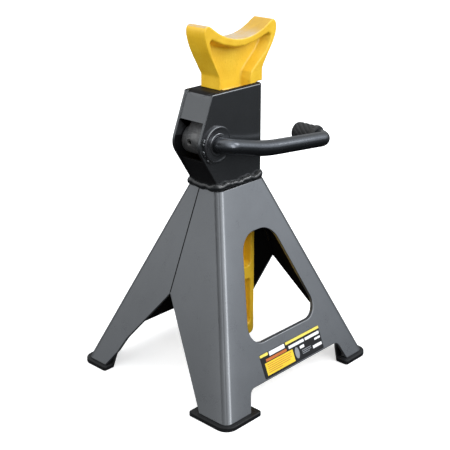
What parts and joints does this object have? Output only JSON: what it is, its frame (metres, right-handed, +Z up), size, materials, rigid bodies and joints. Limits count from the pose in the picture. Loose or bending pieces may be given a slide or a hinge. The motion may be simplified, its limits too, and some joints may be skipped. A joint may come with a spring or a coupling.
{
  "type": "ratchet jack stand",
  "caption": "Ratcheting jack stand: folded steel pyramid base with feet, pawl housing, toothed cast bar with a saddle, and a bent lever with a rubber grip.",
  "frame": {"origin": "on the ground at the centre of the four feet", "axes": "+Z up along the bar's travel; -Y out of the panel that carries the label; -X towards the pawl opening, the lever reaches to +X"},
  "size_m": [0.1939, 0.168, 0.2867],
  "materials": {
    "base_shell": "semi-gloss grey powder coat",
    "weld": "glossy black paint over weld bead",
    "foot": "satin black paint",
    "housing": "satin charcoal paint",
    "ring": "satin charcoal paint",
    "bar": "yellow paint over casting",
    "pawl": "as cast, oiled",
    "pin": "oiled spring steel",
    "handle": "glossy black paint",
    "grip": "matt black rubber",
    "label": "printed vinyl film"
  },
  "bodies": {
    "stand": {"base_front_shell": "base_shell", "base_rear_shell": "base_shell", "left_seam_weld": "weld", "right_seam_weld": "weld", "foot_welds": "weld", "neck_weld": "weld", "foot_front_left": "foot", "foot_front_right": "foot", "foot_rear_left": "foot", "foot_rear_right": "foot", "ratchet_housing": "housing", "bar_guide_front": "housing", "bar_guide_rear": "housing", "front_bearing_ring": "ring", "rear_bearing_ring": "ring", "label_sticker": "label"},
    "bar": {"ratchet_bar": "bar"},
    "handle": {"pawl": "pawl", "pawl_roll_pin": "pin", "shaft_retaining_ring": "pin", "handle_shaft": "handle", "handle_grip": "grip"}
  },
  "joints": [
    {"name": "bar_lift", "type": "slide", "parent": "stand", "child": "bar", "axis": [0, 0, 1], "range_m": [0, 0.1392]},
    {"name": "handle_lift", "type": "hinge", "parent": "stand", "child": "handle", "pos_m": [-0.0265, 0, 0.1965], "axis": [0, -1, 0], "range_deg": [0, 20]}
  ]
}
